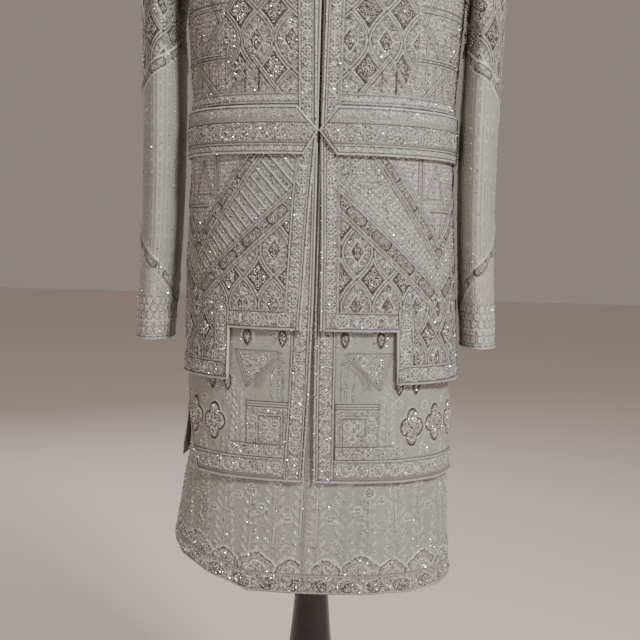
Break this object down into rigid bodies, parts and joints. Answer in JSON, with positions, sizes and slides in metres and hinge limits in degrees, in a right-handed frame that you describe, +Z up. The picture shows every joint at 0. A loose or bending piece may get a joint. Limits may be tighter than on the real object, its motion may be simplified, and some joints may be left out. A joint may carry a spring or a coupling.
{
  "type": "three-layer sherwani coat on a limbless dress form with a turned stand",
  "caption": "Embroidered three-layer sherwani coat with a pointed two-part belt and long sleeves, shown on a limbless dress form with a turned wooden stand.",
  "frame": {"origin": "on the floor, in the middle of the round base, under the form's axis", "axes": "+Z up; the front of the coat faces -Y; +X is to the right of someone who faces the front"},
  "size_m": [0.4815, 0.37, 1.5594],
  "materials": {
    "coat_cloth": "silk covered in silver and sage bead and cord embroidery",
    "under_cloth": "silver sage silk with lighter embroidery",
    "belt_braid": "stiff embroidered silk with piped edges",
    "form_cover": "plain matt cover cloth",
    "stand_wood": "dark lacquer"
  },
  "bodies": {
    "root": {"outer_front_left": "coat_cloth", "outer_front_right": "coat_cloth", "outer_back": "coat_cloth", "sleeve_top_left": "coat_cloth", "sleeve_top_right": "coat_cloth", "sleeve_under_left": "coat_cloth", "sleeve_under_right": "coat_cloth", "collar": "coat_cloth", "belt_front_left": "belt_braid", "belt_front_right": "belt_braid", "belt_back": "belt_braid", "middle_front_left": "under_cloth", "middle_front_right": "under_cloth", "middle_back": "under_cloth", "lower_front_left": "under_cloth", "lower_front_right": "under_cloth", "lower_back": "under_cloth", "form_torso": "form_cover", "form_neck_cap": "stand_wood", "form_flange": "stand_wood", "form_post": "stand_wood", "form_base": "stand_wood"}
  },
  "joints": []
}
